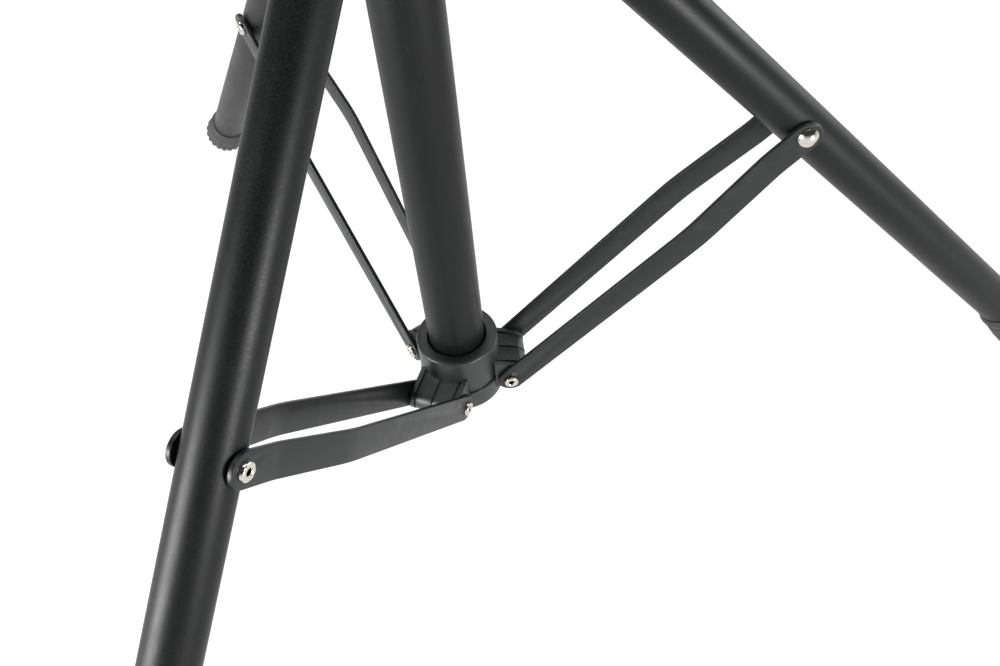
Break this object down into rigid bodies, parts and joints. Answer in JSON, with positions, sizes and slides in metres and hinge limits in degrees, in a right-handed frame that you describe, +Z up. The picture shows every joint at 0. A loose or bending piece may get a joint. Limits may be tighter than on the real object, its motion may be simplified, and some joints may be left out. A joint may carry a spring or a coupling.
{
  "type": "tripod hunting stand",
  "caption": "Folding tripod hunting stand: strap-braced tubular legs on a centre column, a sliding clamped mast and a swivelling rubber-lined rest yoke.",
  "frame": {"origin": "on the centre column's axis, at the level of the ground that the three feet stand on, with the stand set up", "axes": "+Z up along the centre column; +X along the right leg as seen from the front; the front side faces -Y"},
  "size_m": [0.5918, 0.6774, 0.8471],
  "materials": {
    "tube_paint": "fine-texture black powder coat",
    "strap_paint": "satin black paint on flat steel",
    "black_moulding": "glass-filled black nylon, satin",
    "knob_plastic": "grained black plastic",
    "nylon": "natural nylon",
    "nickel": "nickel-plated rivet",
    "zinc_steel": "zinc-plated steel",
    "brass": "turned brass",
    "foot_rubber": "dark grey moulded rubber",
    "pad_rubber": "black ribbed rubber"
  },
  "bodies": {
    "column": {"column_tube": "tube_paint", "column_plug": "black_moulding", "plug_insert": "brass", "hub": "black_moulding", "hub_washer": "zinc_steel", "hub_screw": "zinc_steel", "mast_clamp": "black_moulding", "mast_bush": "nylon", "mast_pad": "brass", "hub_rivet_right": "nickel", "hub_rivet_rear": "nickel", "hub_rivet_front": "nickel"},
    "straps_right": {"strap_right_a": "strap_paint", "strap_right_b": "strap_paint"},
    "straps_rear": {"strap_rear_a": "strap_paint", "strap_rear_b": "strap_paint"},
    "straps_front": {"strap_front_a": "strap_paint", "strap_front_b": "strap_paint"},
    "leg_right": {"leg_tube_right": "tube_paint", "leg_rivet_right": "nickel", "leg_plug_right": "black_moulding", "pivot_sleeve_right": "brass", "rubber_foot_right": "foot_rubber"},
    "leg_rear": {"leg_tube_rear": "tube_paint", "leg_rivet_rear": "nickel", "leg_plug_rear": "black_moulding", "pivot_sleeve_rear": "brass", "rubber_foot_rear": "foot_rubber"},
    "leg_front": {"leg_tube_front": "tube_paint", "leg_rivet_front": "nickel", "leg_plug_front": "black_moulding", "pivot_sleeve_front": "brass", "rubber_foot_front": "foot_rubber"},
    "collar": {"leg_collar": "black_moulding", "collar_liner": "nylon", "collar_pad": "brass", "collar_rivets_right": "nickel", "collar_rivets_rear": "nickel", "collar_rivets_front": "nickel"},
    "collar_clamp": {"collar_screw": "zinc_steel", "collar_knob": "knob_plastic"},
    "mast_clamp_screw": {"mast_screw": "zinc_steel", "mast_knob": "knob_plastic"},
    "mast": {"mast_tube": "tube_paint", "mast_end_plug": "nylon", "mast_head": "black_moulding", "swivel_bolt": "zinc_steel", "swivel_washer": "nylon"},
    "yoke": {"yoke": "black_moulding", "yoke_liner": "pad_rubber"}
  },
  "joints": [
    {"name": "straps_right_fold", "type": "hinge", "parent": "column", "child": "straps_right", "pos_m": [0.03, 0, 0.04233], "axis": [0, -1, 0], "range_deg": [0, 41]},
    {"name": "leg_right_fold", "type": "hinge", "parent": "straps_right", "child": "leg_right", "pos_m": [0.18771, 0, 0.20281], "axis": [0, -1, 0], "range_deg": [-82, 0]},
    {"name": "straps_rear_fold", "type": "hinge", "parent": "column", "child": "straps_rear", "pos_m": [-0.015, 0.02598, 0.04233], "axis": [0.866, 0.5, 0], "range_deg": [0, 41]},
    {"name": "leg_rear_fold", "type": "hinge", "parent": "straps_rear", "child": "leg_rear", "pos_m": [-0.09385, 0.16256, 0.20281], "axis": [0.866, 0.5, 0], "range_deg": [-82, 0]},
    {"name": "straps_front_fold", "type": "hinge", "parent": "column", "child": "straps_front", "pos_m": [-0.015, -0.02598, 0.04233], "axis": [-0.866, 0.5, 0], "range_deg": [0, 41]},
    {"name": "leg_front_fold", "type": "hinge", "parent": "straps_front", "child": "leg_front", "pos_m": [-0.09385, -0.16256, 0.20281], "axis": [-0.866, 0.5, 0], "range_deg": [-82, 0]},
    {"name": "collar_slide", "type": "slide", "parent": "column", "child": "collar", "axis": [0, 0, 1], "range_m": [0, 0.1283]},
    {"name": "collar_knob_turn", "type": "hinge", "parent": "collar", "child": "collar_clamp", "pos_m": [0.0163, 0.02823, 0.38929], "axis": [0.5, 0.866, 0], "range_deg": [0, 360]},
    {"name": "mast_knob_turn", "type": "hinge", "parent": "column", "child": "mast_clamp_screw", "pos_m": [-0.0315, 0, 0.56569], "axis": [-1, 0, 0], "range_deg": [0, 360]},
    {"name": "mast_slide", "type": "slide", "parent": "column", "child": "mast", "axis": [0, 0, 1], "range_m": [-0.145, 0.25]},
    {"name": "yoke_swivel", "type": "hinge", "parent": "mast", "child": "yoke", "pos_m": [0, 0, 0.76289], "axis": [0, 0, 1], "continuous": true}
  ],
  "couplings": [
    {"joint": "leg_right_fold", "follows": "straps_right_fold", "ratio": -2},
    {"joint": "straps_rear_fold", "follows": "straps_right_fold", "ratio": 1},
    {"joint": "leg_rear_fold", "follows": "straps_right_fold", "ratio": -2},
    {"joint": "straps_front_fold", "follows": "straps_right_fold", "ratio": 1},
    {"joint": "leg_front_fold", "follows": "straps_right_fold", "ratio": -2},
    {"joint": "collar_slide", "follows": "straps_right_fold", "m_per_rad": 0.17915}
  ]
}
